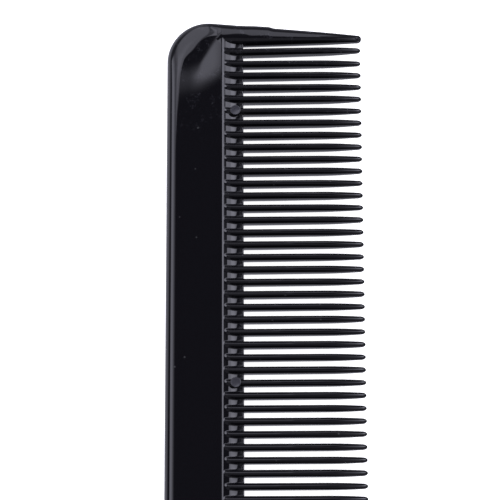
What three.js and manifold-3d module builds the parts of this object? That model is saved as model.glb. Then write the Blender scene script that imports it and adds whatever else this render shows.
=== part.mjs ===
// Rat tail comb: a black moulded comb with one row of fine teeth, and a steel pin tail set in its neck.
// It lies flat. +X runs along the comb to the head end, the teeth point to -Y, and +Z is up.
// The origin is under the middle of its box, on the plane it lies on. Sizes are in millimetres.

import * as THREE from 'three';
import { mergeVertices } from 'three/addons/utils/BufferGeometryUtils.js';
import Module from 'manifold-3d';

const manifold = await Module();
manifold.setup();

// ---- Driving dimensions ----

const overallLength = 225.6;
const overallWidth = 28.3;
const spineThickness = 3.5;

const fineToothCount = 55;
const toothPitch = 1.8;
const headEndToFirstTooth = 4.55;
const guardToothProud = 0.2;

const headCornerRadius = 5.95;
const endEdgeLean = THREE.MathUtils.degToRad(5.45);

const panelWidth = 7.96;
const rootDepth = 11;

const neckLength = 21;
const neckEndWidth = 5.4;
const neckAxisDepth = 4.3;

// How far the back edge's sweep into the neck reaches into the heel, and how hard each end of it pulls.
const backSweep = { intoHeel: 3, heelPull: 6, neckPull: 8 };
// The hollow corner between the heel's end and the neck's other side.
const heelCorner = { length: 3.6, depth: 0.85, pull: 6 };

const pinDiameter = 2.2;
const pinTipDiameter = 1.1;
const pinTaperLength = 34;
const pinSeatDepth = 18;
const pinSeatChamfer = 0.2;
const pinGroove = { count: 3, spacing: 3, width: 1.2, depth: 0.25 };
const pinClearance = 0.1;

// Cutting and limiting shapes run past the moulding by this much.
const overrun = 1;

// ---- Places worked out from them ----

const headEndX = overallLength / 2;
const tailEndX = -overallLength / 2;
const backY = overallWidth / 2;
const midZ = spineThickness / 2;
const rootY = backY - rootDepth;
const firstToothX = headEndX - headEndToFirstTooth;
const lastToothX = firstToothX - (fineToothCount - 1) * toothPitch;
const heelEndX = lastToothX - headEndToFirstTooth;
const headMiddleX = (firstToothX + lastToothX) / 2;
const neckEndX = heelEndX - neckLength;
const neckAxisY = backY - neckAxisDepth;
const pinSeatX = neckEndX + pinSeatDepth;

// Half of the spine's section across the teeth: distance from the back edge, and height off mid-plane.
// The flat panel ends in a fine edge, and a hollow slope runs down to the thin web between the teeth.
const panelEdge = [panelWidth, midZ];
const panelEdgeFoot = [8.4, 1.59];
const slopeUpper = [8.9, 1.24];
const slopeLower = [9.6, 0.95];
const slopeFoot = [10.5, 0.82];
const webEdge = [rootDepth + overrun, 0.81];

// The rounded rim around the moulding.
const rim = { width: 1.5, height: 1.15, steps: 3 };

// A fine tooth, from its tip back to where its ridge runs out on the slope.
const fineToothStations = [
  { fromTip: 0, width: 0.36, thickness: 0.34 },
  { fromTip: 0.35, width: 0.68, thickness: 0.66 },
  { fromTip: 2.0, width: 0.85, thickness: 1.1 },
  { fromTip: 3.6, width: 0.93, thickness: 1.7 },
  { fromTip: 6.2, width: 0.98, thickness: 2.4 },
  { fromTip: 14.5, width: 1.0, thickness: 2.83 },
  { fromTip: 19.8, width: 1.0, thickness: 3.2 },
];
const thinToothWidthRatio = 0.955;
const thinToothThicknessRatio = 0.91;

// A guard tooth, from its tip back into the spine. Its outer edge follows the leaning end edge.
const guardToothStations = [
  { fromTip: 0, width: 0.6, thickness: 0.6 },
  { fromTip: 0.5, width: 1.0, thickness: 1.0 },
  { fromTip: 3.8, width: 1.5, thickness: 1.9 },
  { fromTip: 9.0, width: 2.07, thickness: 2.6 },
  { fromTip: 17.3, width: 3.0, thickness: 3.0 },
  { fromTip: 22.0, width: 3.5, thickness: 3.3 },
];
const toothSides = 8;

// Round ejector pads on the upper face, at the middle tooth and 22 teeth to either side.
const padDiameter = 1.5;
const padDepth = 9.95;
const padHeight = 1.46;
const padSpacing = 22 * toothPitch;

const roundSides = 16;

// ---- Materials ----

const blackPlastic = new THREE.MeshStandardMaterial({ color: 0x121216, roughness: 0.22, metalness: 0 });
const steel = new THREE.MeshStandardMaterial({ color: 0xc4c6c9, roughness: 0.24, metalness: 1 });

// ---- Solids ----

function toSolid(geometry) {
  const bare = geometry.clone();
  bare.deleteAttribute('normal');
  bare.deleteAttribute('uv');
  const merged = mergeVertices(bare, 1e-5);
  return new manifold.Manifold(new manifold.Mesh({
    numProp: 3,
    vertProperties: new Float32Array(merged.attributes.position.array),
    triVerts: new Uint32Array(merged.index.array),
  }));
}

function toGeometry(solid) {
  const mesh = solid.getMesh();
  const geometry = new THREE.BufferGeometry();
  geometry.setAttribute('position', new THREE.BufferAttribute(new Float32Array(mesh.vertProperties), 3));
  geometry.setIndex(new THREE.BufferAttribute(new Uint32Array(mesh.triVerts), 1));
  geometry.computeVertexNormals();
  return geometry;
}

// The outline of the spine and neck seen from above, extruded with the rounded rim on both faces.
function planSolid() {
  const arcCentreX = headEndX - headCornerRadius;
  const arcCentreY = backY - headCornerRadius;
  const lean = Math.tan(endEdgeLean);
  const endEdgeTopX = arcCentreX + headCornerRadius * Math.cos(endEdgeLean);
  const endEdgeTopY = arcCentreY - headCornerRadius * Math.sin(endEdgeLean);
  const headRootX = endEdgeTopX - lean * (endEdgeTopY - rootY);
  const heelRootX = heelEndX + (headEndX - headRootX);
  const neckTopY = neckAxisY + neckEndWidth / 2;
  const neckUnderY = neckAxisY - neckEndWidth / 2;
  const cornerX = heelEndX - heelCorner.length;
  const cornerY = neckUnderY - heelCorner.depth;
  const sweepStartX = neckEndX + backSweep.neckPull;
  const sweepEndX = heelEndX + backSweep.intoHeel;

  const outline = new THREE.Shape();
  outline.moveTo(neckEndX, neckTopY);
  outline.bezierCurveTo(sweepStartX, neckTopY, heelEndX - backSweep.heelPull, backY, sweepEndX, backY);
  outline.lineTo(arcCentreX, backY);
  outline.absarc(arcCentreX, arcCentreY, headCornerRadius, Math.PI / 2, -endEdgeLean, true);
  outline.lineTo(headRootX, rootY);
  outline.lineTo(heelRootX, rootY);
  outline.quadraticCurveTo(heelEndX, cornerY, cornerX, cornerY);
  outline.bezierCurveTo(
    cornerX - heelCorner.pull, cornerY,
    neckEndX + heelCorner.pull, neckUnderY,
    neckEndX, neckUnderY,
  );

  const geometry = new THREE.ExtrudeGeometry(outline, {
    depth: spineThickness - 2 * rim.height,
    curveSegments: 9,
    bevelSize: rim.width,
    bevelThickness: rim.height,
    bevelOffset: -rim.width,
    bevelSegments: rim.steps,
  });
  geometry.translate(0, 0, rim.height);
  return toSolid(geometry);
}

// The spine's section across the teeth, run along the whole moulding.
function sectionSolid() {
  const pastBackEdge = [-overrun, midZ];
  const slope = [panelEdgeFoot, slopeUpper, slopeLower, slopeFoot];
  const halfSection = [pastBackEdge, panelEdge, ...slope, webEdge];
  const upper = halfSection.map(([depth, height]) => new THREE.Vector2(depth, height));
  const lower = halfSection.map(([depth, height]) => new THREE.Vector2(depth, -height));
  const section = new THREE.Shape([...upper, ...lower.reverse()]);
  const runLength = headEndX - neckEndX + 2 * overrun;
  const geometry = new THREE.ExtrudeGeometry(section, { depth: runLength, bevelEnabled: false });
  // Section x becomes depth from the back edge (-Y), section y becomes +Z, and the run goes to -X.
  const place = new THREE.Matrix4().makeBasis(
    new THREE.Vector3(0, -1, 0),
    new THREE.Vector3(0, 0, 1),
    new THREE.Vector3(-1, 0, 0),
  );
  place.setPosition(headEndX + overrun, backY, midZ);
  geometry.applyMatrix4(place);
  return toSolid(geometry);
}

// A tapered bar of eight sides with its tip at the origin, running back to +Y.
function taperedTooth(stations, centreXAt) {
  const rings = stations.length - 1;
  const geometry = new THREE.CylinderGeometry(1, 1, 1, toothSides, rings, false, Math.PI / toothSides);
  const position = geometry.attributes.position;
  const cornerReach = Math.cos(Math.PI / toothSides);
  for (let i = 0; i < position.count; i += 1) {
    const station = stations[Math.round((0.5 + position.getY(i)) * rings)];
    const across = position.getX(i) * station.width / 2 / cornerReach;
    const up = position.getZ(i) * station.thickness / 2 / cornerReach;
    position.setXYZ(i, centreXAt(station) + across, station.fromTip, up);
  }
  return geometry;
}

function fineToothSolid(index) {
  const isThin = index % 2 === 1;
  const widthRatio = isThin ? thinToothWidthRatio : 1;
  const thicknessRatio = isThin ? thinToothThicknessRatio : 1;
  const stations = fineToothStations.map((station) => ({
    fromTip: station.fromTip,
    width: station.width * widthRatio,
    thickness: station.thickness * thicknessRatio,
  }));
  const geometry = taperedTooth(stations, () => 0);
  geometry.translate(firstToothX - index * toothPitch, guardToothProud - backY, midZ);
  return toSolid(geometry);
}

// endSign is +1 for the head end's guard tooth and -1 for the heel end's.
function guardToothSolid(endSign) {
  const edgeReach = (headEndX - heelEndX) / 2;
  const lean = Math.tan(endEdgeLean);
  const outerEdgeAt = (station) => edgeReach - lean * (overallWidth - headCornerRadius - station.fromTip);
  const geometry = taperedTooth(
    guardToothStations,
    (station) => endSign * (outerEdgeAt(station) - station.width / 2),
  );
  geometry.translate(headMiddleX, -backY, midZ);
  return toSolid(geometry);
}

function ejectorPadSolid(place) {
  const geometry = new THREE.CylinderGeometry(padDiameter / 2, padDiameter / 2, padHeight, roundSides);
  geometry.rotateX(Math.PI / 2);
  geometry.translate(headMiddleX + place * padSpacing, backY - padDepth, midZ + padHeight / 2);
  return toSolid(geometry);
}

function pinBoreSolid() {
  const length = pinSeatDepth + overrun;
  const radius = pinDiameter / 2 + pinClearance;
  const geometry = new THREE.CylinderGeometry(radius, radius, length, roundSides);
  geometry.rotateZ(Math.PI / 2);
  geometry.translate(pinSeatX + pinClearance - length / 2, neckAxisY, midZ);
  return toSolid(geometry);
}

// ---- Sub-parts ----

function makeCombBody() {
  let body = planSolid().intersect(sectionSolid());
  for (let index = 0; index < fineToothCount; index += 1) {
    body = body.add(fineToothSolid(index));
  }
  for (const endSign of [1, -1]) {
    body = body.add(guardToothSolid(endSign));
  }
  for (const place of [-1, 0, 1]) {
    body = body.add(ejectorPadSolid(place));
  }
  body = body.subtract(pinBoreSolid());
  const mesh = new THREE.Mesh(toGeometry(body), blackPlastic);
  mesh.name = 'comb_body';
  return mesh;
}

// The tail: a round steel pin with anchor grooves in its seat and a long taper to a round tip.
function makeTailPin() {
  const radius = pinDiameter / 2;
  const tipRadius = pinTipDiameter / 2;
  const grooveRadius = radius - pinGroove.depth;
  const tipCentre = pinSeatX - tailEndX - tipRadius;

  // Radius against distance from the seated end.
  const profile = [
    new THREE.Vector2(0, 0),
    new THREE.Vector2(radius - pinSeatChamfer, 0),
    new THREE.Vector2(radius, pinSeatChamfer),
  ];
  for (let groove = 1; groove <= pinGroove.count; groove += 1) {
    const start = groove * pinGroove.spacing;
    const end = start + pinGroove.width;
    profile.push(new THREE.Vector2(radius, start));
    profile.push(new THREE.Vector2(grooveRadius, start));
    profile.push(new THREE.Vector2(grooveRadius, end));
    profile.push(new THREE.Vector2(radius, end));
  }
  profile.push(new THREE.Vector2(radius, tipCentre - pinTaperLength));
  const tipSteps = 4;
  for (let step = 0; step < tipSteps; step += 1) {
    const turn = (step / tipSteps) * Math.PI / 2;
    profile.push(new THREE.Vector2(tipRadius * Math.cos(turn), tipCentre + tipRadius * Math.sin(turn)));
  }
  profile.push(new THREE.Vector2(0, tipCentre + tipRadius));

  const geometry = new THREE.LatheGeometry(profile, roundSides);
  const mesh = new THREE.Mesh(geometry, steel);
  mesh.name = 'tail_pin';
  mesh.rotation.z = Math.PI / 2;
  mesh.position.set(pinSeatX, neckAxisY, midZ);
  return mesh;
}

const ratTailComb = new THREE.Group();
ratTailComb.add(makeCombBody());
ratTailComb.add(makeTailPin());

export default ratTailComb;
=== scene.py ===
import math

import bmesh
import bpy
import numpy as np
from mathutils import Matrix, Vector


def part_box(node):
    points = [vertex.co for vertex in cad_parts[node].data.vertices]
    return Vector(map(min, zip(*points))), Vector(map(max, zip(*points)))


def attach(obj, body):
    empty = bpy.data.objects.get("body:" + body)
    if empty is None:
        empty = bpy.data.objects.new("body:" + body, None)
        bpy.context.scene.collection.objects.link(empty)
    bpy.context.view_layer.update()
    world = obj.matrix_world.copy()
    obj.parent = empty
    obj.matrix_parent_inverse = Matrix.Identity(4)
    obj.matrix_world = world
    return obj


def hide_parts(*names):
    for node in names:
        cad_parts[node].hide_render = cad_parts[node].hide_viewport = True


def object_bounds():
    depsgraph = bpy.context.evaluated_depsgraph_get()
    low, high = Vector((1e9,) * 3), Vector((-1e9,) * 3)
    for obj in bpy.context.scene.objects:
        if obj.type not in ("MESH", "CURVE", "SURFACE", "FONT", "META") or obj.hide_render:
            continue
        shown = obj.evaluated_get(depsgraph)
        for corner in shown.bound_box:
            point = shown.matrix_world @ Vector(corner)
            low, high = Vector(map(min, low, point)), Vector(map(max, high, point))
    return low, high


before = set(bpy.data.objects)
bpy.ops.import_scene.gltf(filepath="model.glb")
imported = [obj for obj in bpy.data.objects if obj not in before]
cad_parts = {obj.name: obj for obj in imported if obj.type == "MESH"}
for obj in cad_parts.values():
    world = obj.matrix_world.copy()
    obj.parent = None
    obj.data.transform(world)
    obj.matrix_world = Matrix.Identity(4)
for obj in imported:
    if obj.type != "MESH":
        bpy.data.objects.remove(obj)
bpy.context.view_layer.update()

# The looks of a rat tail comb: a glossy black moulding with fine teeth, and a steel pin for a tail.
# The comb's shapes are worked out in millimetres and become metres when a mesh is made.
# "depth" is the distance from the comb's back edge towards the tooth tips, along -Y.
# "height" is the distance off the comb's middle plane, along Z.
# "from_tip" is the distance back from a fine tooth's tip.
# "outer" and "inner" are a guard tooth's edges away from the fine teeth and beside them.

MM = 0.001

# ---- Places that the frame gives ----

body_low, body_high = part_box("comb_body")
pin_low, pin_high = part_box("tail_pin")
HEAD_END_X = body_high.x / MM
NECK_END_X = body_low.x / MM
BACK_Y = body_high.y / MM
COMB_WIDTH = (body_high.y - body_low.y) / MM
MIDDLE_Z = (body_low.z + body_high.z) / 2 / MM
HALF_THICKNESS = (body_high.z - body_low.z) / 2 / MM
PIN_AXIS_Y = (pin_low.y + pin_high.y) / 2 / MM
PIN_RADIUS = (pin_high.y - pin_low.y) / 2 / MM
PIN_SEAT_X = pin_high.x / MM
PIN_TIP_X = pin_low.x / MM

# ---- The moulding's own sizes, in millimetres ----

TOOTH_COUNT = 55
TOOTH_PITCH = 1.8
END_TO_TOOTH = 4.55
FIRST_TOOTH_X = HEAD_END_X - END_TO_TOOTH
LAST_TOOTH_X = FIRST_TOOTH_X - (TOOTH_COUNT - 1) * TOOTH_PITCH
HEEL_END_X = LAST_TOOTH_X - END_TO_TOOTH
GUARD_PROUD = 0.15
TOOTH_TIP_DEPTH = COMB_WIDTH - GUARD_PROUD
ROOT_DEPTH = 11.05

# Every second tooth is a little thinner.
TOOTH_WIDTH = 1.055
TOOTH_HALF_THICKNESS = 1.22
THIN_TOOTH_WIDTH_SHARE = 0.955
THIN_TOOTH_THICKNESS_SHARE = 0.91

# The first tooth bends towards the guard tooth, more and more over this length.
FIRST_TOOTH_BEND = 0.2
BEND_LENGTH = 17.0

# The panel's edge above the teeth is a small round. It runs into a hollow cove, a flat land and a round nose.
PANEL_EDGE_DEPTH = 7.92
EDGE_ROUND = 0.7
COVE_RADIUS = 3.7
COVE_TILT = math.radians(40.0)
LAND_NOSE = 0.08
EDGE_FOOT_DEPTH = PANEL_EDGE_DEPTH + EDGE_ROUND * math.sin(COVE_TILT)
EDGE_FOOT_HEIGHT = HALF_THICKNESS - EDGE_ROUND * (1.0 - math.cos(COVE_TILT))
LAND_DEPTH = EDGE_FOOT_DEPTH + COVE_RADIUS * math.sin(COVE_TILT)
LAND_HEIGHT = EDGE_FOOT_HEIGHT - COVE_RADIUS * (1.0 - math.cos(COVE_TILT))
NOSE_DEPTH = ROOT_DEPTH - LAND_NOSE

HEAD_CORNER_RADIUS = 5.95
HEAD_CORNER_X = HEAD_END_X - HEAD_CORNER_RADIUS
END_EDGE_LEAN = math.radians(5.45)
HEAD_CORNER_END_DEPTH = HEAD_CORNER_RADIUS * (1.0 + math.sin(END_EDGE_LEAN))

# The broken-off gate on the head end's outer edge.
GATE_PROUD = 0.16
GATE_START_DEPTH = 10.0
GATE_RISE_LENGTH = 3.4
GATE_END_DEPTH = 15.6
GATE_FALL_LENGTH = 0.7

HEEL_FILLET_RADIUS = 3.0
HEEL_FILLET_DEPTH = 10.9

NECK_HALF_WIDTH = 2.7
NECK_CORNER_RADIUS = 1.5
NECK_AXIS_DEPTH = BACK_Y - PIN_AXIS_Y
NECK_UPPER_DEPTH = NECK_AXIS_DEPTH - NECK_HALF_WIDTH
NECK_UNDER_DEPTH = NECK_AXIS_DEPTH + NECK_HALF_WIDTH
NECK_CORNER_X = NECK_END_X + NECK_CORNER_RADIUS
NECK_TO_BACK_X = HEEL_END_X + 3.0
NECK_RIM_SCALE = 0.8

# Ejector pads sit on the middle tooth and the same number of teeth to either side.
MIDDLE_TOOTH = TOOTH_COUNT // 2
PAD_SPACING = 22
PAD_TEETH = (MIDDLE_TOOTH - PAD_SPACING, MIDDLE_TOOTH, MIDDLE_TOOTH + PAD_SPACING)
PAD_RADIUS = 0.75
PAD_DEPTH = 9.95
PAD_HEIGHT = 1.44

# Shares above this count as a whole, so that a curve closes exactly. Nothing is divided by less than TINY.
NEARLY_WHOLE = 0.9999
TINY = 0.01
WELD_DISTANCE = 2e-4


# ---- Small helpers ----

def smooth_step(value):
    """0 below 0, 1 above 1, and a smooth rise between them."""
    t = np.clip(value, 0.0, 1.0)
    return t * t * (3.0 - 2.0 * t)


def smooth_max(a, b, radius):
    """The larger of a and b, with a fillet of about that radius where they cross."""
    overlap = np.clip(radius - np.abs(a - b), 0.0, None)
    return np.maximum(a, b) + overlap * overlap / (4.0 * np.maximum(radius, 1e-6))


def drop(distance, radius):
    """How far a circle has fallen away from its tangent, a distance along that tangent."""
    return radius - np.sqrt(radius ** 2 - distance ** 2)


def add_to_scene(name, data):
    """An object with that data, in the scene."""
    added = bpy.data.objects.new(name, data)
    bpy.context.scene.collection.objects.link(added)
    return added


def mesh_object(name, points, faces):
    """A mesh object from points in millimetres, welded where points meet."""
    mesh = bpy.data.meshes.new(name)
    mesh.from_pydata([tuple(c * MM for c in p) for p in points], [], faces)
    shape = bmesh.new()
    shape.from_mesh(mesh)
    bmesh.ops.remove_doubles(shape, verts=shape.verts, dist=WELD_DISTANCE * MM)
    bmesh.ops.dissolve_degenerate(shape, edges=shape.edges, dist=WELD_DISTANCE * MM)
    unused = [vertex for vertex in shape.verts if not vertex.link_faces]
    bmesh.ops.delete(shape, geom=unused, context="VERTS")
    bmesh.ops.recalc_face_normals(shape, faces=shape.faces)
    shape.to_mesh(mesh)
    shape.free()
    return add_to_scene(name, mesh)


def combine(piece, other, operation):
    """Joins or cuts piece with other, and removes other."""
    step = piece.modifiers.new("combine", "BOOLEAN")
    step.operation = operation
    step.solver = "MANIFOLD"
    step.object = other
    bpy.context.view_layer.update()
    evaluated = piece.evaluated_get(bpy.context.evaluated_depsgraph_get())
    result = bpy.data.meshes.new_from_object(evaluated)
    piece.modifiers.remove(step)
    old = piece.data
    piece.data = result
    bpy.data.meshes.remove(old)
    bpy.data.objects.remove(other)


# ---- Teeth: their width and thickness along their length ----

# What a fine tooth gains or loses along its length. A start or a length is a distance back from its tip.
TIP_ROUND_LENGTH = 0.6
TIP_NARROWING = 0.31
NARROWING_LENGTH = 5.2
NARROWING_POWER = 1.9
ROOT_WIDENING = 0.02
WIDENING_START = 9.0
WIDENING_LENGTH = 5.0
TIP_THINNING = 0.88
THINNING_LENGTH = 6.2
THINNING_POWER = 1.45
ROOT_THICKENING = 0.24
THICKENING_START = 5.0
THICKENING_LENGTH = 9.0
ROOT_RISE = 0.2
ROOT_RISE_START = 16.2
ROOT_RISE_LENGTH = 3.6
ROOT_RISE_POWER = 1.3
THIN_TOOTH_TIP_LOSS = 0.12
THIN_TOOTH_LOSS_LENGTH = 6.0


def towards_tip(from_tip, length):
    """0 where the tip is further away than length, rising evenly to 1 at the tip."""
    return np.clip(1.0 - from_tip / length, 0.0, 1.0)


def tip_round(from_tip):
    """The share of its size that a tooth keeps where its tip is rounded off."""
    return np.sqrt(1.0 - towards_tip(from_tip, TIP_ROUND_LENGTH) ** 2)


def fine_tooth_width(from_tip):
    """The full width of a thick fine tooth."""
    narrowing = TIP_NARROWING * towards_tip(from_tip, NARROWING_LENGTH) ** NARROWING_POWER
    widening = ROOT_WIDENING * np.clip((from_tip - WIDENING_START) / WIDENING_LENGTH, 0.0, 1.0)
    return (TOOTH_WIDTH - narrowing + widening) * tip_round(from_tip)


def fine_tooth_half_thickness(from_tip):
    """Half the full thickness of a thick fine tooth, at its ridge."""
    thinning = TIP_THINNING * towards_tip(from_tip, THINNING_LENGTH) ** THINNING_POWER
    thickening = ROOT_THICKENING * smooth_step((from_tip - THICKENING_START) / THICKENING_LENGTH)
    into_rise = np.clip((from_tip - ROOT_RISE_START) / ROOT_RISE_LENGTH, 0.0, 1.2)
    rise = ROOT_RISE * into_rise ** ROOT_RISE_POWER
    return (TOOTH_HALF_THICKNESS - thinning + thickening + rise) * tip_round(from_tip)


def thin_tooth_share(from_tip):
    """How thick a thin tooth is, as a share of a thick one: thinner still near its tip."""
    loss = THIN_TOOTH_TIP_LOSS * np.sqrt(towards_tip(from_tip, THIN_TOOTH_LOSS_LENGTH))
    return THIN_TOOTH_THICKNESS_SHARE - loss


def web_height(depth):
    """Height of the web between teeth: edge round, cove, land and nose."""
    edge = HALF_THICKNESS - drop(np.clip(depth - PANEL_EDGE_DEPTH, 0.0, EDGE_ROUND), EDGE_ROUND)
    cove = LAND_HEIGHT + drop(np.clip(LAND_DEPTH - depth, 0.0, COVE_RADIUS), COVE_RADIUS)
    height = np.where(depth < EDGE_FOOT_DEPTH, edge, cove)
    into_nose = np.clip((depth - NOSE_DEPTH) / LAND_NOSE, 0.0, 1.0)
    return np.where(into_nose > NEARLY_WHOLE, 0.0, height - drop(into_nose * LAND_NOSE, LAND_NOSE))


# ---- The row of fine teeth with its web ----

# A tooth's section: a half turn from one edge over the ridge to the other, a little fuller than an ellipse.
SECTION_STEPS = 12
SECTION_FULLNESS = 0.86
SECTION_TURNS = np.linspace(math.pi / 2, -math.pi / 2, SECTION_STEPS + 1)
SECTION_ACROSS = np.sin(SECTION_TURNS)
SECTION_UP = np.where(np.abs(SECTION_ACROSS) > NEARLY_WHOLE, 0.0,
                      np.abs(np.cos(SECTION_TURNS)) ** SECTION_FULLNESS)

# Columns between two teeth, and past the first and last ones, as shares of the way across.
GAP_SHARES = (0.06, 0.15, 0.5, 0.85, 0.94)
BEFORE_FIRST_SHARES = (0.0, 0.5, 0.9)
AFTER_LAST_SHARES = (0.1, 0.5, 1.0)
END_MARGIN = 1.35

# The web turns up into a tooth's flank with a fillet, which stops just short of upright. It fades out where
# the ridge stands less than FILLET_MERGE of the web's height above it. A smaller fillet meets the ridge.
FLANK_FILLET = 0.16
FILLET_END_SHARE = 0.92
FILLET_MERGE = 0.15
ROOT_FILLET = 0.05

# The web starts inside the spine, this far before the panel's edge and this far below the panel.
HIDDEN_LENGTH = 0.8
HIDDEN_DROP = 0.1


def root_row_depths():
    """Depths of the grid's rows from inside the spine to the web's nose, close together where it curves."""
    edge_tilts = np.linspace(0.06, 1.0, 6) * COVE_TILT
    cove_tilts = np.linspace(1.0, 0.0, 11)[1:] * COVE_TILT
    nose_turns = np.linspace(0.25, 0.5, 3) * math.pi
    return np.concatenate([
        [PANEL_EDGE_DEPTH - HIDDEN_LENGTH],
        PANEL_EDGE_DEPTH + EDGE_ROUND * np.sin(edge_tilts),
        LAND_DEPTH - COVE_RADIUS * np.sin(cove_tilts),
        [NOSE_DEPTH],
        NOSE_DEPTH + LAND_NOSE * np.sin(nose_turns),
    ])


def tooth_row_depths():
    """Depths of the grid's rows from just past the web's nose to the tooth tips."""
    free_length = TOOTH_TIP_DEPTH - ROOT_DEPTH
    tip_turns = np.linspace(0.12, math.pi / 2, 6)
    from_tip = np.concatenate([
        np.linspace(free_length - 0.25, 7.6, 6),
        np.linspace(7.0, TIP_ROUND_LENGTH, 11),
        0.55 * (1.0 - np.sin(tip_turns)),
    ])
    return TOOTH_TIP_DEPTH - from_tip


class ToothGrid:
    """The fine teeth and web as a grid of rows by depth and columns along the comb.
    A tooth is its centre line and its kind: 0 for a thick tooth and 1 for a thin one."""

    def __init__(self):
        roots = root_row_depths()
        self.root_rows = len(roots)
        self.depths = np.concatenate([roots, tooth_row_depths()])
        from_tip = TOOTH_TIP_DEPTH - self.depths
        half_width = fine_tooth_width(from_tip) / 2
        ridge = fine_tooth_half_thickness(from_tip)
        self.half_widths = (half_width, half_width * THIN_TOOTH_WIDTH_SHARE)
        self.ridges = (ridge, ridge * thin_tooth_share(from_tip))
        self.web = web_height(self.depths)
        self.web[0] = HALF_THICKNESS - HIDDEN_DROP
        self.columns_x = []
        self.columns_up = []
        self.columns_fillet = []
        self.tooth_starts = []

    def tooth(self, index):
        """The tooth of that index, counted from the head end."""
        bend = FIRST_TOOTH_BEND if index == 0 else 0.0
        along = np.clip((self.depths - ROOT_DEPTH) / BEND_LENGTH, 0.0, 1.0)
        return FIRST_TOOTH_X - index * TOOTH_PITCH + bend * along, index % 2

    def side(self, tooth, direction):
        """A tooth's edge line on its head side (+1) or its heel side (-1)."""
        centre, kind = tooth
        return centre + direction * self.half_widths[kind]

    def fillet_beside(self, x, tooth):
        """How far the web climbs where it turns up into a tooth's flank, a distance away from it."""
        centre, kind = tooth
        ridge = self.ridges[kind]
        share = self.web / np.maximum(ridge, TINY)
        flank = self.half_widths[kind] * np.sqrt(np.clip(1.0 - share ** (2.0 / SECTION_FULLNESS), 0.0, 1.0))
        short = np.clip(FLANK_FILLET - (np.abs(x - centre) - flank), 0.0, FILLET_END_SHARE * FLANK_FILLET)
        above_web = np.clip(ridge / np.maximum(self.web, TINY) - 1.0, 0.0, FILLET_MERGE) / FILLET_MERGE
        return drop(short, FLANK_FILLET) * above_web

    def add_column(self, x, up, fillet):
        self.columns_x.append(x)
        self.columns_up.append(up)
        self.columns_fillet.append(fillet)

    def add_tooth(self, tooth):
        centre, kind = tooth
        self.tooth_starts.append(len(self.columns_x))
        for across, up in zip(SECTION_ACROSS, SECTION_UP):
            x = centre + self.half_widths[kind] * across
            self.add_column(x, self.ridges[kind] * up, self.fillet_beside(x, tooth))

    def add_gap(self, first, last, shares, beside):
        for share in shares:
            x = first + (last - first) * share
            fillet = sum(self.fillet_beside(x, tooth) for tooth in beside)
            self.add_column(x, np.zeros_like(x), fillet)

    def heights(self):
        """Each column's height at each row: tooth or web, whichever is higher, with fillets between them."""
        tooth_up = np.array(self.columns_up)
        in_web = np.minimum(1.0, self.web / LAND_HEIGHT)[None, :]
        floor = self.web[None, :] + np.array(self.columns_fillet) * in_web
        height = smooth_max(tooth_up, floor, ROOT_FILLET * in_web)
        height = np.where(tooth_up <= 0.0, floor, height)
        height[:, self.root_rows:] = tooth_up[:, self.root_rows:]
        return height

    def cells(self):
        """Column and row of each grid cell that has a face: all of the web, and the teeth past it."""
        for column in range(len(self.columns_x) - 1):
            for row in range(self.root_rows - 1):
                yield column, row
        for start in self.tooth_starts:
            for column in range(start, start + SECTION_STEPS):
                for row in range(self.root_rows - 1, len(self.depths) - 1):
                    yield column, row

    def solid(self):
        """The grid above and below the middle plane, closed at the hidden start and at the two ends."""
        height = self.heights()
        column_count = len(self.columns_x)
        row_count = len(self.depths)
        points = []
        faces = []
        for side in (1, -1):
            base = len(points)
            for x, column_height in zip(self.columns_x, height):
                for row, depth in enumerate(self.depths):
                    points.append((x[row], BACK_Y - depth, MIDDLE_Z + side * column_height[row]))
            for column, row in self.cells():
                here = base + column * row_count + row
                beside = here + row_count
                quad = [here, beside, beside + 1, here + 1]
                faces.append(quad if side > 0 else quad[::-1])
        lower = column_count * row_count
        hidden_start = [column * row_count for column in range(column_count)]
        head_end = list(range(self.root_rows))
        heel_end = [lower - row_count + row for row in head_end]
        for upper_edge in (hidden_start, head_end, heel_end):
            faces.append(upper_edge + [lower + i for i in reversed(upper_edge)])
        return mesh_object("tooth_row", points, faces)


def tooth_row():
    """All the fine teeth with the web between them, from the head end to the heel end."""
    grid = ToothGrid()
    teeth = [grid.tooth(index) for index in range(TOOTH_COUNT)]
    first_side = grid.side(teeth[0], 1)
    grid.add_gap(first_side + END_MARGIN, first_side, BEFORE_FIRST_SHARES, [teeth[0]])
    grid.add_tooth(teeth[0])
    for last, tooth in zip(teeth, teeth[1:]):
        grid.add_gap(grid.side(last, -1), grid.side(tooth, 1), GAP_SHARES, [last, tooth])
        grid.add_tooth(tooth)
    last_side = grid.side(teeth[-1], -1)
    grid.add_gap(last_side, last_side - END_MARGIN, AFTER_LAST_SHARES, [teeth[-1]])
    return grid.solid()


# ---- How the spine's surface climbs inwards from its outline ----

# Each climb is an inset from the outline and a height, at the same number of steps.
OUTER_STEPS = 7
SHOULDER_STEPS = 6
CLIMB_STEPS = 1 + OUTER_STEPS + SHOULDER_STEPS
EDGE_TILT = math.radians(28.0)
OUTER_ROUND = 1.2
SHOULDER_ROUND = 2.6


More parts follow.
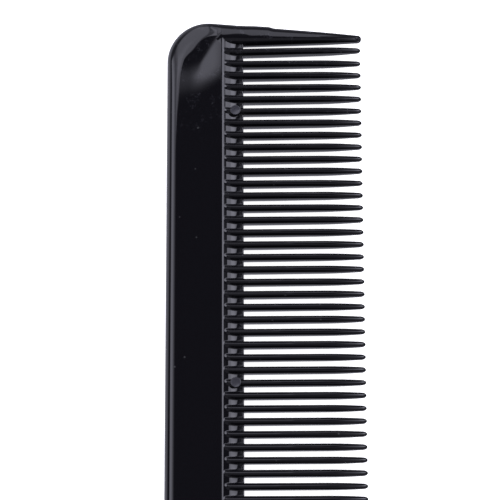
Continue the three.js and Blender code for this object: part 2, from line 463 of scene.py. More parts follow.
def rim_profile():
    """The rim: a short wall, a round, a faint crease and a wide soft shoulder."""
    outer = np.linspace(math.pi / 2, EDGE_TILT, OUTER_STEPS)
    shoulder = np.linspace(EDGE_TILT, 0.0, SHOULDER_STEPS + 1)[1:]
    crease_height = HALF_THICKNESS - SHOULDER_ROUND * (1.0 - math.cos(EDGE_TILT))
    outer_inset = OUTER_ROUND * (1.0 - np.sin(outer))
    outer_height = crease_height - OUTER_ROUND * (math.cos(EDGE_TILT) - np.cos(outer))
    shoulder_inset = outer_inset[-1] + SHOULDER_ROUND * (math.sin(EDGE_TILT) - np.sin(shoulder))
    shoulder_height = HALF_THICKNESS - SHOULDER_ROUND * (1.0 - np.cos(shoulder))
    inset = np.array([0.0, *outer_inset, *shoulder_inset])
    height = np.array([0.0, *outer_height, *shoulder_height])
    return inset, height


RIM_INSET, RIM_HEIGHT = rim_profile()
SHOULDER_START = RIM_INSET[OUTER_STEPS]
SHOULDER_END = RIM_INSET[-1]

# The panel's side above the teeth is a plain wall, which the web's edge round meets at its top.
PANEL_EDGE_CLIMB = (np.zeros(CLIMB_STEPS), HALF_THICKNESS * np.linspace(0.0, 1.0, CLIMB_STEPS))


def rim_climb(scale=1.0, reach=SHOULDER_END, top=HALF_THICKNESS):
    """The rim with its shoulder stretched inwards to a reach, its inset scaled, and a height at its top."""
    stretch = (reach - SHOULDER_START) / (SHOULDER_END - SHOULDER_START)
    in_shoulder = RIM_INSET > SHOULDER_START
    stretched = SHOULDER_START + (RIM_INSET - SHOULDER_START) * stretch
    return np.where(in_shoulder, stretched, RIM_INSET) * scale, RIM_HEIGHT * top / HALF_THICKNESS


def flank_climb(reach, top):
    """A guard tooth's inner flank: a quarter of an ellipse."""
    turns = np.linspace(0.0, math.pi / 2, CLIMB_STEPS)
    return (1.0 - np.cos(turns)) * reach, np.sin(turns) * top


# ---- The spine's outline ----

class Outline:
    """The spine's outline seen from above, walked with the material on the right-hand side.
    Each point keeps how the surface climbs inwards from it."""

    def __init__(self):
        self.points = []
        self.climbs = []

    def add(self, x, depth, climb):
        self.points.append((x, BACK_Y - depth))
        self.climbs.append(climb)

    def __len__(self):
        return len(self.points)


def head_line_x(depth):
    """The head end's straight edge, which leans in from the corner towards the guard tooth's tip."""
    corner_end_x = HEAD_CORNER_X + HEAD_CORNER_RADIUS * math.cos(END_EDGE_LEAN)
    return corner_end_x - math.tan(END_EDGE_LEAN) * (depth - HEAD_CORNER_END_DEPTH)


def heel_line_x(depth):
    """The heel end's straight edge, the head end's mirror image."""
    return HEEL_END_X + HEAD_END_X - head_line_x(depth)


def head_outer_x(depth):
    """The head end's outer edge, where the broken-off gate stands a little proud: slow rise, sharp end."""
    rise = smooth_step((depth - GATE_START_DEPTH) / GATE_RISE_LENGTH)
    fall = smooth_step((GATE_END_DEPTH - depth) / GATE_FALL_LENGTH)
    return head_line_x(depth) + GATE_PROUD * rise * fall


def heel_outer_x(depth):
    """The heel end's outer edge, which curves away into the fillet beside the neck."""
    into_fillet = np.clip(HEEL_FILLET_DEPTH - depth, 0.0, HEEL_FILLET_RADIUS)
    return heel_line_x(depth) - drop(into_fillet, HEEL_FILLET_RADIUS)


def add_neck_side(outline, start, end, shares):
    """One side of the neck: an S-curve between two places, each an x, a depth and the rim's scale there."""
    start = np.array(start)
    end = np.array(end)
    for share in shares:
        x = start[0] + (end[0] - start[0]) * share
        depth, rim_scale = start[1:] + (end[1:] - start[1:]) * smooth_step(share)
        outline.add(x, depth, rim_climb(rim_scale))


def add_neck_end(outline):
    """The neck's two rounded corners, from its under side to its upper side."""
    turns = np.linspace(0.0, math.pi / 2, 8)
    for turn in turns[1:]:
        outline.add(NECK_CORNER_X - NECK_CORNER_RADIUS * math.sin(turn),
                    NECK_UNDER_DEPTH - NECK_CORNER_RADIUS * (1.0 - math.cos(turn)), rim_climb(NECK_RIM_SCALE))
    for turn in turns[:-1]:
        outline.add(NECK_CORNER_X - NECK_CORNER_RADIUS * math.cos(turn),
                    NECK_UPPER_DEPTH + NECK_CORNER_RADIUS * (1.0 - math.sin(turn)), rim_climb(NECK_RIM_SCALE))


# Around the head corner the rim's shoulder spreads into a wide soft facet, widest part of the way round.
FACET_WIDENING = 1.7
FACET_MIDDLE = HEAD_CORNER_RADIUS * math.radians(38.0)
FACET_SPREAD_BACK = 4.2
FACET_SPREAD_END = 5.5
FACET_BACK_LENGTH = 8.0


def facet_climb(along):
    """The rim a distance along the edge from where the head corner starts."""
    past_middle = along - FACET_MIDDLE
    spread = FACET_SPREAD_BACK if past_middle < 0.0 else FACET_SPREAD_END
    return rim_climb(reach=SHOULDER_END + FACET_WIDENING * math.exp(-(past_middle / spread) ** 2))


def add_head_corner(outline):
    """The back edge's last stretch, the corner's arc and the head end down to the panel's edge."""
    for before in np.linspace(FACET_BACK_LENGTH, 0.5, 10):
        outline.add(HEAD_CORNER_X - before, 0.0, facet_climb(-before))
    for turn in np.linspace(0.0, math.pi / 2 + END_EDGE_LEAN, 26):
        outline.add(HEAD_CORNER_X + HEAD_CORNER_RADIUS * math.sin(turn),
                    HEAD_CORNER_RADIUS * (1.0 - math.cos(turn)), facet_climb(HEAD_CORNER_RADIUS * turn))
    arc_length = HEAD_CORNER_RADIUS * (math.pi / 2 + END_EDGE_LEAN)
    for depth in np.linspace(HEAD_CORNER_END_DEPTH + 0.4, PANEL_EDGE_DEPTH - 0.3, 5):
        outline.add(head_line_x(depth), depth, facet_climb(arc_length + depth - HEAD_CORNER_END_DEPTH))


# ---- Guard teeth ----

# A guard tooth narrows evenly from its root, and gets thinner over a short stretch past the panel's edge.
GUARD_ROOT_WIDTH = 2.95
GUARD_ROOT_DEPTH = 11.5
GUARD_NARROWING = 0.113
GUARD_EXTRA_THICKNESS = 0.1
GUARD_BLEND_DEPTH = PANEL_EDGE_DEPTH - 0.3
GUARD_BLEND_LENGTH = 4.5
GUARD_TIP_LENGTH = 0.6
GUARD_TIP_TURNS = np.linspace(0.0, math.pi, 9)[1:-1]
GUARD_DEPTHS = np.concatenate([
    np.linspace(PANEL_EDGE_DEPTH, 12.0, 12),
    np.linspace(12.5, 14.5, 5),
    np.linspace(14.9, 15.6, 5),
    np.linspace(16.4, COMB_WIDTH - 1.2, 11),
    np.linspace(COMB_WIDTH - 0.9, COMB_WIDTH - GUARD_TIP_LENGTH, 3),
])


def guard_width(depth):
    """Width of a guard tooth at the middle plane."""
    return GUARD_ROOT_WIDTH - GUARD_NARROWING * (depth - GUARD_ROOT_DEPTH)


def guard_half_thickness(depth):
    """A guard tooth starts flush with the panel and thins towards its tip, as the fine teeth do."""
    fine = fine_tooth_half_thickness(np.maximum(COMB_WIDTH - depth, 0.75)) + GUARD_EXTRA_THICKNESS
    blend = smooth_step((depth - GUARD_BLEND_DEPTH) / GUARD_BLEND_LENGTH)
    return HALF_THICKNESS * (1.0 - blend) + fine * blend


def guard_rim(depth):
    return rim_climb(min(1.0, 0.34 * guard_width(depth)), top=guard_half_thickness(depth))


def guard_flank(depth):
    return flank_climb(min(1.1, 0.35 * guard_width(depth)), guard_half_thickness(depth))


def add_guard(outline, outer_x, line_x, outward):
    """One guard tooth. outward is +1 at the head end, where the walk starts on the outer edge, and -1 at the
    heel end, where it ends there. Gives the indices of its outer and inner points, both from root to tip."""
    outer = [(outer_x(depth), depth, guard_rim(depth)) for depth in GUARD_DEPTHS]
    inner = [(line_x(depth) - outward * guard_width(depth), depth, guard_flank(depth))
             for depth in GUARD_DEPTHS]
    last_depth = GUARD_DEPTHS[-1]
    tip_radius = guard_width(last_depth) / 2
    tip_x = outer_x(last_depth) - outward * tip_radius
    tip = []
    for turn in GUARD_TIP_TURNS:
        climb = guard_rim(last_depth) if turn < math.pi / 2 else guard_flank(last_depth)
        tip.append((tip_x + outward * tip_radius * math.cos(turn),
                    last_depth + GUARD_TIP_LENGTH * math.sin(turn), climb))
    walk = outer + tip + inner[::-1]
    indices = list(range(len(outline), len(outline) + len(walk)))
    if outward < 0:
        walk.reverse()
        indices.reverse()
    for x, depth, climb in walk:
        outline.add(x, depth, climb)
    return indices[:len(outer)], indices[::-1][:len(inner)]


# ---- The spine ----

def spine():
    """The panel, its rounded rim, both guard teeth and the neck, in rings that step inwards."""
    outline = Outline()
    shares = np.linspace(0.0, 1.0, 14)
    neck_upper = (NECK_CORNER_X, NECK_UPPER_DEPTH, NECK_RIM_SCALE)
    neck_under = (NECK_CORNER_X, NECK_UNDER_DEPTH, NECK_RIM_SCALE)
    add_neck_side(outline, neck_upper, (NECK_TO_BACK_X, 0.0, 1.0), shares)
    for x in np.linspace(HEEL_END_X + 12.0, HEAD_CORNER_X - FACET_BACK_LENGTH - 1.0, 6):
        outline.add(x, 0.0, rim_climb())
    add_head_corner(outline)
    head_guard = add_guard(outline, head_outer_x, head_line_x, 1)

    inside_guard = guard_width(PANEL_EDGE_DEPTH) + 0.1
    panel_start = head_line_x(PANEL_EDGE_DEPTH) - inside_guard
    panel_end = heel_line_x(PANEL_EDGE_DEPTH) + inside_guard
    for x in np.linspace(panel_start, panel_end, 24):
        outline.add(x, PANEL_EDGE_DEPTH, PANEL_EDGE_CLIMB)
    heel_guard = add_guard(outline, heel_outer_x, heel_line_x, -1)

    fillet_x = heel_line_x(HEEL_FILLET_DEPTH) - HEEL_FILLET_RADIUS
    fillet_start = math.asin((HEEL_FILLET_DEPTH - PANEL_EDGE_DEPTH) / HEEL_FILLET_RADIUS)
    for turn in np.linspace(fillet_start, math.pi / 2, 8)[1:]:
        outline.add(fillet_x + HEEL_FILLET_RADIUS * math.cos(turn),
                    HEEL_FILLET_DEPTH - HEEL_FILLET_RADIUS * math.sin(turn), rim_climb())
    fillet_end = (fillet_x, HEEL_FILLET_DEPTH - HEEL_FILLET_RADIUS, 1.0)
    add_neck_side(outline, fillet_end, neck_under, shares[1:])
    add_neck_end(outline)
    return ring_surface(outline, [head_guard, heel_guard])


def inward_directions(points):
    """The direction into the material at each outline point, from its two neighbours."""
    before = np.roll(points, 1, axis=0)
    after = np.roll(points, -1, axis=0)

    def unit(vectors):
        return vectors / np.linalg.norm(vectors, axis=1)[:, None]

    along = unit(unit(points - before) + unit(after - points))
    return np.stack([along[:, 1], -along[:, 0]], axis=1)


def ring_polygons(count, guards):
    """Faces of one half, by index: walls between rings, each guard tooth's ridge and tip, and the panel."""
    polygons = []
    for ring in range(CLIMB_STEPS - 1):
        for i in range(count):
            j = (i + 1) % count
            polygons.append([ring * count + i, ring * count + j,
                             (ring + 1) * count + j, (ring + 1) * count + i])
    top = (CLIMB_STEPS - 1) * count
    in_guard = set()
    for outer, inner in guards:
        for k in range(len(outer) - 1):
            polygons.append([top + outer[k], top + outer[k + 1], top + inner[k + 1], top + inner[k]])
        low, high = sorted((outer[-1], inner[-1]))
        polygons.append([top + i for i in range(low, high + 1)])
        low, high = sorted((outer[0], inner[0]))
        in_guard.update(range(low + 1, high))
    polygons.append([top + i for i in range(count) if i not in in_guard])
    return polygons


def ring_surface(outline, guards):
    """The outline's rings above and below the middle plane, as one closed solid."""
    edge = np.array(outline.points)
    inward = inward_directions(edge)
    polygons = ring_polygons(len(edge), guards)
    points = []
    faces = []
    for side in (1, -1):
        base = len(points)
        for step in range(CLIMB_STEPS):
            for place, direction, (inset, height) in zip(edge, inward, outline.climbs):
                x, y = place + direction * inset[step]
                points.append((x, y, MIDDLE_Z + side * height[step]))
        for polygon in polygons:
            shifted = [base + i for i in polygon]
            faces.append(shifted if side > 0 else shifted[::-1])
    return mesh_object("spine", points, faces)


# ---- Small features ----

def turned_shape(name, profile, centre, axis, sides=48):
    """A solid of revolution: profile is radius against distance along axis from centre."""
    points = []
    faces = []
    axis = Vector(axis)
    across = axis.orthogonal().normalized()
    over = axis.cross(across)
    for radius, distance in profile:
        for side in range(sides):
            turn = 2.0 * math.pi * side / sides
            offset = (math.cos(turn) * across + math.sin(turn) * over) * float(radius)
            points.append(tuple(Vector(centre) + axis * float(distance) + offset))
    for ring in range(len(profile) - 1):
        for side in range(sides):
            following = (side + 1) % sides
            faces.append([ring * sides + side, ring * sides + following,
                          (ring + 1) * sides + following, (ring + 1) * sides + side])
    last = (len(profile) - 1) * sides
    faces.append(list(range(sides - 1, -1, -1)))
    faces.append([last + side for side in range(sides)])
    return mesh_object(name, points, faces)


def ejector_pad(tooth_index):
    """A round pad left by an ejector pin, with a faint raised lip around its slightly dished face."""
    centre = (FIRST_TOOTH_X - tooth_index * TOOTH_PITCH, BACK_Y - PAD_DEPTH, MIDDLE_Z)
    lip_height = PAD_HEIGHT + 0.022
    foot = (PAD_RADIUS, 0.1)
    wall = [(PAD_RADIUS, PAD_HEIGHT - 0.04), (PAD_RADIUS - 0.02, PAD_HEIGHT)]
    lip = [(PAD_RADIUS - 0.06, lip_height), (PAD_RADIUS - 0.11, lip_height)]
    face = [(PAD_RADIUS - 0.17, PAD_HEIGHT + 0.004), (0.05, PAD_HEIGHT)]
    return turned_shape("ejector_pad", [foot, *wall, *lip, *face], centre, (0, 0, 1), 40)


BORE_CLEARANCE = 0.03
BORE_END_CLEARANCE = 0.2


def pin_bore():
    """The hole in the neck for the pin, cut from just outside the neck's end."""
    start = NECK_END_X - 1.0
    length = PIN_SEAT_X + BORE_END_CLEARANCE - start
    radius = PIN_RADIUS + BORE_CLEARANCE
    centre = (start, PIN_AXIS_Y, MIDDLE_Z)
    return turned_shape("pin_bore", [(radius, 0.0), (radius, length)], centre, (1, 0, 0))


# ---- Shader nodes ----

class Nodes:
    """Short ways to add and link shader nodes in one tree. A value is a number or another node's output."""

    def __init__(self, tree):
        self.tree = tree

    def add(self, kind):
        return self.tree.nodes.new("ShaderNode" + kind)

    def link(self, output, target):
        self.tree.links.new(output, target)

    def split_axes(self, vector):
        """The X, Y and Z of a vector."""
        node = self.add("SeparateXYZ")
        self.link(vector, node.inputs["Vector"])
        return node.outputs["X"], node.outputs["Y"], node.outputs["Z"]

    def math(self, operation, *values):
        node = self.add("Math")
        node.operation = operation
        for socket, value in zip(node.inputs, values):
            if isinstance(value, (int, float)):
                socket.default_value = value
            else:
                self.link(value, socket)
        return node.outputs["Value"]

    def multiply(self, *values):
        """The product of any number of values."""
        result = values[0]
        for value in values[1:]:
            result = self.math("MULTIPLY", result, value)
        return result

    def remap(self, value, low, high, new_low, new_high, interpolation="LINEAR"):
        """A value's span from low to high, moved to a new span and held at its ends."""
        node = self.add("MapRange")
        node.interpolation_type = interpolation
        node.inputs["From Min"].default_value = low
        node.inputs["From Max"].default_value = high
        node.inputs["To Min"].default_value = new_low
        node.inputs["To Max"].default_value = new_high
        self.link(value, node.inputs["Value"])
        return node.outputs["Result"]


class Surface(Nodes):
    """A new material's nodes, with its shader and the place on the piece in metres."""

    def __init__(self, name):
        self.material = bpy.data.materials.new(name)
        self.material.use_nodes = True
        super().__init__(self.material.node_tree)
        self.shader = self.tree.nodes["Principled BSDF"]
        self.place = self.add("TexCoord").outputs["Object"]

    def set_input(self, socket, value):
        """Sets one of the shader's sockets to a number, a colour or another node's output."""
        target = self.shader.inputs[socket]
        if isinstance(value, bpy.types.NodeSocket):
            self.link(value, target)
        else:
            target.default_value = value

    def noise(self, scale, detail=3.0, roughness=0.5, place=None):
        """Soft noise from 0 to 1, with scale as its waves in a metre."""
        node = self.add("TexNoise")
        node.inputs["Scale"].default_value = scale
        node.inputs["Detail"].default_value = detail
        node.inputs["Roughness"].default_value = roughness
        self.link(place or self.place, node.inputs["Vector"])
        return node.outputs["Fac"]

    def stretched(self, scale):
        """The place with its axes scaled."""
        node = self.add("Mapping")
        node.inputs["Scale"].default_value = scale
        self.link(self.place, node.inputs["Vector"])
        return node.outputs["Vector"]

    def dots(self, scale, radius, softness):
        """1 in small scattered dots and 0 between them."""
        node = self.add("TexVoronoi")
        node.inputs["Scale"].default_value = scale
        self.link(self.place, node.inputs["Vector"])
        return self.remap(node.outputs["Distance"], radius, radius + softness, 1.0, 0.0)

    def mix_colour(self, factor, first, second):
        """A colour between two, each a triple or another node's output."""
        node = self.add("Mix")
        node.data_type = "RGBA"
        self.link(factor, node.inputs["Factor"])
        for name, colour in (("A", first), ("B", second)):
            socket = [s for s in node.inputs if s.name == name and s.type == "RGBA"][0]
            if isinstance(colour, tuple):
                socket.default_value = (*colour, 1.0)
            else:
                self.link(colour, socket)
        return [s for s in node.outputs if s.type == "RGBA"][0]

    def mix_value(self, factor, first, second):
        """From a node's output to a number, by factor."""
        node = self.add("Mix")
        self.link(factor, node.inputs["Factor"])
        self.link(first, node.inputs["A"])
        node.inputs["B"].default_value = second
        return node.outputs["Result"]

    def bump(self, height, distance, strength=1.0, below=None):
        """A normal from a height, on top of another bump where one is given."""
        node = self.add("Bump")
        node.inputs["Distance"].default_value = distance
        node.inputs["Strength"].default_value = strength
        self.link(height, node.inputs["Height"])
        if below is not None:
            self.link(below, node.inputs["Normal"])
        return node.outputs["Normal"]


# ---- Materials ----

# Base colours of the black plastic and of what marks it. The pads' grey is a painted sheen: it stands in for
# the light that their dull faces reflect.
PLASTIC_BLACK = (0.0042, 0.0040, 0.0054)
SPECK_GREY = (0.035, 0.035, 0.038)
GRIT_GREY = (0.03, 0.03, 0.034)
PAD_PAINTED_SHEEN = (0.032, 0.032, 0.040)
SMUDGE_GREY = (0.035, 0.035, 0.042)
PLASTIC_IOR = 1.5
DULL_ROUGHNESS = 0.22
FLOW_RELIEF = 6.0e-6
GRIT_RELIEF = 1.2e-6

# Smudges fade in over this stretch of the head end.
SMUDGE_START_X = HEAD_END_X - 18.8
SMUDGE_FULL_X = HEAD_END_X - 10.8


def bay_floors(surface, y, z):
    """1 on the dull land at the foot of each bay, below the cove and before the teeth, and 0 elsewhere."""
    land_y = BACK_Y - LAND_DEPTH
    floor_z = MIDDLE_Z + LAND_HEIGHT
    past_cove = surface.remap(y, (land_y + 0.5) * MM, (land_y + 0.1) * MM, 0.0, 1.0)
    before_teeth = surface.remap(y, (land_y - 0.9) * MM, (land_y - 0.5) * MM, 0.0, 1.0)
    near_floor = surface.remap(z, (floor_z + 0.3) * MM, (floor_z + 0.1) * MM, 0.0, 1.0)
    return surface.multiply(past_cove, before_teeth, near_floor)


def pad_faces(surface, x, y, z):
    """1 on the ejector pads' round faces and 0 elsewhere."""
    spacing = PAD_SPACING * TOOTH_PITCH * MM
    middle_x = (FIRST_TOOTH_X - MIDDLE_TOOTH * TOOTH_PITCH) * MM
    along = surface.math("WRAP", surface.math("SUBTRACT", x, middle_x), spacing / 2, -spacing / 2)
    across = surface.math("SUBTRACT", y, (BACK_Y - PAD_DEPTH) * MM)
    square = surface.math("ADD", surface.multiply(along, along), surface.multiply(across, across))
    inside = surface.math("LESS_THAN", square, ((PAD_RADIUS - 0.05) * MM) ** 2)
    on_top = surface.math("GREATER_THAN", z, (MIDDLE_Z + PAD_HEIGHT - 0.05) * MM)
    return surface.multiply(inside, on_top)


def black_plastic():
    """Glossy black plastic: near-mirror faces with fine scuffs, specks and smudges, dull bay floors, and dull
    ejector pads with a painted sheen in their colour.
    """
    surface = Surface("black_plastic")
    x, y, z = surface.split_axes(surface.place)
    pads = pad_faces(surface, x, y, z)
    dull = surface.math("MAXIMUM", bay_floors(surface, y, z), pads)
    dull_grit = surface.multiply(surface.remap(surface.noise(6000.0, 2.0), 0.45, 0.75, 0.0, 1.0), dull)
    specks = surface.dots(330.0, 0.03, 0.03)
    handled_end = surface.remap(x, SMUDGE_START_X * MM, SMUDGE_FULL_X * MM, 0.0, 1.0)
    smudges = surface.remap(surface.noise(700.0, 8.0, 0.8), 0.56, 0.72, 0.0, 1.0)
    colour = surface.mix_colour(specks, PLASTIC_BLACK, SPECK_GREY)
    colour = surface.mix_colour(dull_grit, colour, GRIT_GREY)
    # Painted sheen: the pad faces get a grey, faintly blue colour that stands in for the light their dull
    # faces reflect.
    colour = surface.mix_colour(pads, colour, PAD_PAINTED_SHEEN)
    colour = surface.mix_colour(surface.multiply(smudges, handled_end), colour, SMUDGE_GREY)
    surface.set_input("Base Color", colour)
    scuffs = surface.remap(surface.noise(260.0, 5.0, 0.65), 0.55, 0.85, 0.014, 0.045)
    surface.set_input("Roughness", surface.mix_value(dull, scuffs, DULL_ROUGHNESS))
    surface.set_input("IOR", PLASTIC_IOR)
    flow = surface.bump(surface.noise(110.0, 2.0), FLOW_RELIEF)
    surface.set_input("Normal", surface.bump(dull_grit, GRIT_RELIEF, below=flow))
    return surface.material


def pin_steel():
    """Drawn stainless steel: bright, with fine lines along the pin and slight handling marks."""
    surface = Surface("pin_steel")
    lines = surface.noise(1.0, 4.0, 0.6, surface.stretched((60.0, 9000.0, 9000.0)))
    marks = surface.noise(180.0, 4.0)
    surface.set_input("Base Color", surface.mix_colour(marks, (0.50, 0.51, 0.52), (0.66, 0.66, 0.66)))
    surface.set_input("Metallic", 1.0)
    surface.set_input("Roughness", surface.remap(marks, 0.3, 0.7, 0.14, 0.28))
    surface.set_input("Normal", surface.bump(lines, 4.0e-6, 0.6))
    return surface.material


def floor_card():
    """Plain white card, lit a little from below, as a light table is."""
    surface = Surface("floor_card")
    fibres = surface.noise(900.0, 3.0)
    surface.set_input("Base Color", surface.mix_colour(fibres, (0.80, 0.80, 0.80), (0.84, 0.84, 0.84)))
    surface.set_input("Roughness", 0.9)
    surface.set_input("Specular IOR Level", 0.1)
    surface.set_input("Emission Color", (1.0, 1.0, 1.0, 1.0))
    surface.set_input("Emission Strength", 0.93)
    return surface.material


# ---- Pieces ----

def finish_piece(piece, material):
    """Smooth shading with crisp creases, the material, and the CAD body that the piece rides on."""
    piece.data.materials.clear()
    piece.data.materials.append(material)
    piece.data.shade_smooth()
    piece.data.set_sharp_from_angle(angle=math.radians(32.0))
    weighted = piece.modifiers.new("weighted_normals", "WEIGHTED_NORMAL")
    weighted.keep_sharp = True
    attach(piece, "root")


def make_moulding():
    piece = spine()
    combine(piece, tooth_row(), "UNION")
    for tooth_index in PAD_TEETH:
        combine(piece, ejector_pad(tooth_index), "UNION")
    combine(piece, pin_bore(), "DIFFERENCE")
    piece.name = "comb_moulding"
    finish_piece(piece, black_plastic())
    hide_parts("comb_body")


# The pin's sizes and its distances from the seated end, in millimetres.
PIN_LENGTH = PIN_SEAT_X - PIN_TIP_X
PIN_CHAMFER = 0.2
PIN_TIP_RADIUS = 0.55
PIN_TIP_CENTRE = PIN_LENGTH - PIN_TIP_RADIUS
TAPER_LENGTH = 34.0
TAPER_START = PIN_TIP_CENTRE - TAPER_LENGTH
SHAFT_RINGS = (14.0, 20.0, 50.0, TAPER_START)
GROOVE_STARTS = (3.0, 6.0, 9.0)
GROOVE_LENGTH = 1.2
GROOVE_DEPTH = 0.25
GROOVE_SLOPE = 0.05


def pin_profile():
    """Radius against distance from the seated end: chamfer, grooves, straight, taper and round tip."""
    groove_radius = PIN_RADIUS - GROOVE_DEPTH
    profile = [(0.02, 0.0), (PIN_RADIUS - PIN_CHAMFER, 0.0), (PIN_RADIUS, PIN_CHAMFER)]
    for start in GROOVE_STARTS:
        end = start + GROOVE_LENGTH
        profile += [(PIN_RADIUS, start), (groove_radius, start + GROOVE_SLOPE),
                    (groove_radius, end - GROOVE_SLOPE), (PIN_RADIUS, end)]
    profile += [(PIN_RADIUS, distance) for distance in SHAFT_RINGS]
    for share in np.linspace(0.0, 1.0, 9)[1:]:
        eased = share * share * (2.0 - share)
        radius = PIN_RADIUS + (PIN_TIP_RADIUS - PIN_RADIUS) * eased
        profile.append((radius, TAPER_START + TAPER_LENGTH * share))
    for turn in np.linspace(0.0, math.pi / 2, 9)[1:-1]:
        profile.append((PIN_TIP_RADIUS * math.cos(turn), PIN_TIP_CENTRE + PIN_TIP_RADIUS * math.sin(turn)))
    profile.append((0.01, PIN_LENGTH))
    return profile


def make_pin():
    piece = turned_shape("steel_pin", pin_profile(), (PIN_SEAT_X, PIN_AXIS_Y, MIDDLE_Z), (-1, 0, 0))
    finish_piece(piece, pin_steel())
    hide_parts("tail_pin")


# ---- Stage: camera, floor and lights ----

# The camera looks at a point on the comb's middle plane. It leans from straight above that point towards the
# heel end by its tilt. Its heading turns that lean away from the comb's length, and its roll is about its own
# line of sight.
CAMERA_AIM = Vector((FIRST_TOOTH_X - 29.42, BACK_Y - 11.95, MIDDLE_Z))
CAMERA_DISTANCE = 251.1
CAMERA_TILT = math.radians(13.0645)
CAMERA_HEADING = math.radians(7.885)
CAMERA_ROLL = math.radians(-8.281)
CAMERA_LENS = 127.0


def make_camera():
    """Looks down on the head half of the comb, tilted along it, with a long lens."""
    back = Vector((-math.sin(CAMERA_TILT) * math.cos(CAMERA_HEADING),
                   -math.sin(CAMERA_TILT) * math.sin(CAMERA_HEADING),
                   math.cos(CAMERA_TILT)))
    level = Vector((math.sin(CAMERA_HEADING), -math.cos(CAMERA_HEADING), 0.0))
    right = math.cos(CAMERA_ROLL) * level + math.sin(CAMERA_ROLL) * back.cross(level)
    turn = Matrix((right, back.cross(right), back)).transposed().to_4x4()
    camera_data = bpy.data.cameras.new("camera")
    camera_data.lens = CAMERA_LENS
    camera_data.sensor_width = 36.0
    camera_data.clip_start = 0.01
    camera = add_to_scene("camera", camera_data)
    camera.matrix_world = Matrix.Translation((CAMERA_AIM + back * CAMERA_DISTANCE) * MM) @ turn
    bpy.context.scene.camera = camera


# The floor and the lamp are in metres.
FLOOR_HALF_SIZE = 4.0
FLOOR_GAP = 0.00002
LAMP_PLACE = (0.05, 0.0, 1.0)
LAMP_SIZE = 1.2
LAMP_WATTS = 6.0


def make_floor():
    """A wide card just under the comb. Reflections don't see it."""
    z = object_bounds()[0][2] - FLOOR_GAP
    corners = [(x * FLOOR_HALF_SIZE, y * FLOOR_HALF_SIZE, z) for x, y in ((-1, -1), (1, -1), (1, 1), (-1, 1))]
    mesh = bpy.data.meshes.new("floor")
    mesh.from_pydata(corners, [], [(0, 1, 2, 3)])
    mesh.materials.append(floor_card())
    floor = add_to_scene("floor", mesh)
    floor.visible_glossy = False


def make_lights():
    """One broad overhead light for the floor and the soft shadow. The world's panels make the reflections."""
    light = bpy.data.lights.new("overhead", "AREA")
    light.shape = "SQUARE"
    light.size = LAMP_SIZE
    light.energy = LAMP_WATTS
    lamp = add_to_scene("overhead", light)
    lamp.location = LAMP_PLACE
    lamp.visible_camera = False
    lamp.visible_glossy = False


# ---- World ----

HORIZON_SOFTNESS = 0.03
DARK_RADIANCE = 0.03
BELOW_RADIANCE = 0.42
LIGHT_TINT = (0.96, 0.96, 1.13, 1.0)
WHITE = (1.0, 1.0, 1.0, 1.0)


class Studio(Nodes):
    """Builds the world from soft-edged light panels. Each is a shape in the directions above the comb, by how
    far they lean ahead (+X) and across to the tooth side (-Y) for one unit of height. Below the comb there is
    no such measure, and x and y are the direction's own parts."""

    def __init__(self, tree):
        super().__init__(tree)
        self.x, self.y, self.height = self.split_axes(self.add("TexCoord").outputs["Generated"])
        above = self.math("MAXIMUM", self.height, 0.02)
        self.ahead = self.math("DIVIDE", self.x, above)
        self.across = self.math("DIVIDE", self.y, self.multiply(above, -1.0))

    def slanted(self, slope):
        """Distance across, less a share of the distance ahead: its level lines are slanted edges."""
        return self.math("MULTIPLY_ADD", self.ahead, -slope, self.across)

    def edge(self, value, dark, lit):
        """A panel's soft edge: 0 at dark, 1 at lit, smooth between."""
        if dark < lit:
            return self.remap(value, dark, lit, 0.0, 1.0, "SMOOTHSTEP")
        return self.remap(value, lit, dark, 1.0, 0.0, "SMOOTHSTEP")

    def inverse(self, value):
        return self.math("SUBTRACT", 1.0, value)

    def total(self, start, parts):
        """A number with some outputs added to it."""
        for part in parts:
            start = self.math("ADD", part, start)
        return start


def ceiling_panels(studio):
    """The broad light ahead, which the flat panel mirrors as a slanted bright patch. A small flag hides part
    of it, and it is brighter on its back side, on its tooth side and in a narrow strip between them."""
    ahead = studio.ahead
    across = studio.across
    edge = studio.edge
    flag = studio.multiply(
        edge(ahead, 0.39, 0.365), edge(ahead, 0.334, 0.345),
        edge(across, -0.095, -0.082), edge(studio.slanted(0.577), -0.2578, -0.26))
    ceiling = studio.multiply(
        edge(ahead, 0.32, 0.338), edge(ahead, 2.0, 1.3),
        edge(across, -0.6, -0.36), edge(across, 0.5, 0.25),
        edge(studio.slanted(0.667), -0.24, -0.29), edge(studio.slanted(1.5), -0.546, -0.568),
        studio.inverse(flag))
    whole = studio.multiply(0.6, ceiling)
    back_side = studio.multiply(1.0, ceiling, edge(across, -0.085, -0.11))
    strip = studio.multiply(1.5, ceiling, edge(across, -0.068, -0.06), edge(across, -0.046, -0.054))
    tooth_side = studio.multiply(0.65, ceiling, edge(across, -0.054, -0.046))
    return [whole, back_side, strip, tooth_side]


def side_panels(studio):
    """Lights to the back side, which the rim mirrors, and to the tooth side, which the cove mirrors."""
    ahead = studio.ahead
    across = studio.across
    edge = studio.edge
    back_strip = studio.multiply(0.6, edge(ahead, 0.34, 0.38), edge(ahead, 0.55, 0.44),
                                 edge(across, -0.42, -0.36), edge(across, -0.15, -0.22))
    back_window = studio.multiply(2.6, edge(ahead, -0.5, 0.0), edge(ahead, 0.6, 0.5),
                                  edge(across, -1.5, -1.1), edge(across, -0.36, -0.95))
    tooth_window = studio.multiply(2.8, edge(ahead, -0.3, 0.15), edge(ahead, 1.4, 0.8),
                                   edge(studio.slanted(0.25), 0.24, 0.34),
                                   edge(studio.slanted(1.9), 1.06, 0.92))
    tooth_fill = studio.multiply(1.4, edge(ahead, 0.0, 0.3), edge(ahead, 1.2, 0.6),
                                 edge(across, 0.38, 0.6), edge(across, 1.1, 0.85))
    return [back_strip, back_window, tooth_window, tooth_fill]


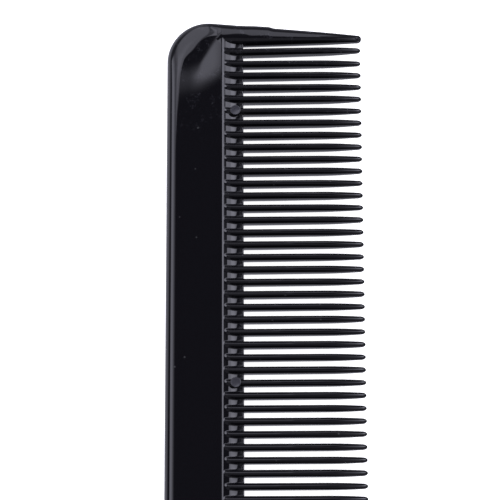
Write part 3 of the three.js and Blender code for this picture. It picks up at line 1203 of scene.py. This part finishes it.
def washes(studio):
    """Wide dim light without an outline of its own."""
    ahead = studio.ahead
    across = studio.across
    edge = studio.edge
    low_back = studio.multiply(0.7, edge(across, -2.2, -5.0))
    in_front = studio.multiply(0.15, edge(ahead, 0.36, 0.6))
    behind = studio.multiply(0.2, edge(ahead, -0.2, -0.8))
    low_front_and_back_side = studio.multiply(0.5, edge(ahead, 0.9, 1.6), edge(across, 0.0, -0.5))
    return [low_back, in_front, behind, low_front_and_back_side]


def light_below(studio):
    """Light from below the horizon: more from the back side and from behind, and less from the tooth side."""
    back_side = studio.multiply(0.8, studio.edge(studio.y, 0.2, 0.6))
    tooth_side = studio.multiply(-0.3, studio.edge(studio.y, -0.5, -0.9))
    behind = studio.multiply(1.1, studio.edge(studio.x, -0.4, -0.85))
    return studio.total(BELOW_RADIANCE, [back_side, tooth_side, behind])


def make_world():
    """A dark ceiling with soft light panels ahead and to both sides, and a dim horizon.
    Seen by the camera it is plain white."""
    world = bpy.data.worlds.new("studio")
    bpy.context.scene.world = world
    world.use_nodes = True
    studio = Studio(world.node_tree)
    panels = ceiling_panels(studio) + side_panels(studio) + washes(studio)
    above = studio.edge(studio.height, -HORIZON_SOFTNESS, 0.0)
    light_above = studio.multiply(studio.total(DARK_RADIANCE, panels), above)
    light_under = studio.multiply(light_below(studio), studio.inverse(above))
    lit = world.node_tree.nodes["Background"]
    lit.inputs["Color"].default_value = LIGHT_TINT
    studio.link(studio.math("ADD", light_above, light_under), lit.inputs["Strength"])
    plain = studio.add("Background")
    plain.inputs["Color"].default_value = WHITE
    mix = studio.add("MixShader")
    studio.link(studio.add("LightPath").outputs["Is Camera Ray"], mix.inputs["Fac"])
    studio.link(lit.outputs["Background"], mix.inputs[1])
    studio.link(plain.outputs["Background"], mix.inputs[2])
    studio.link(mix.outputs["Shader"], world.node_tree.nodes["World Output"].inputs["Surface"])


bpy.context.scene.view_settings.view_transform = "Standard"
make_camera()
make_floor()
make_lights()
make_world()
make_moulding()
make_pin()
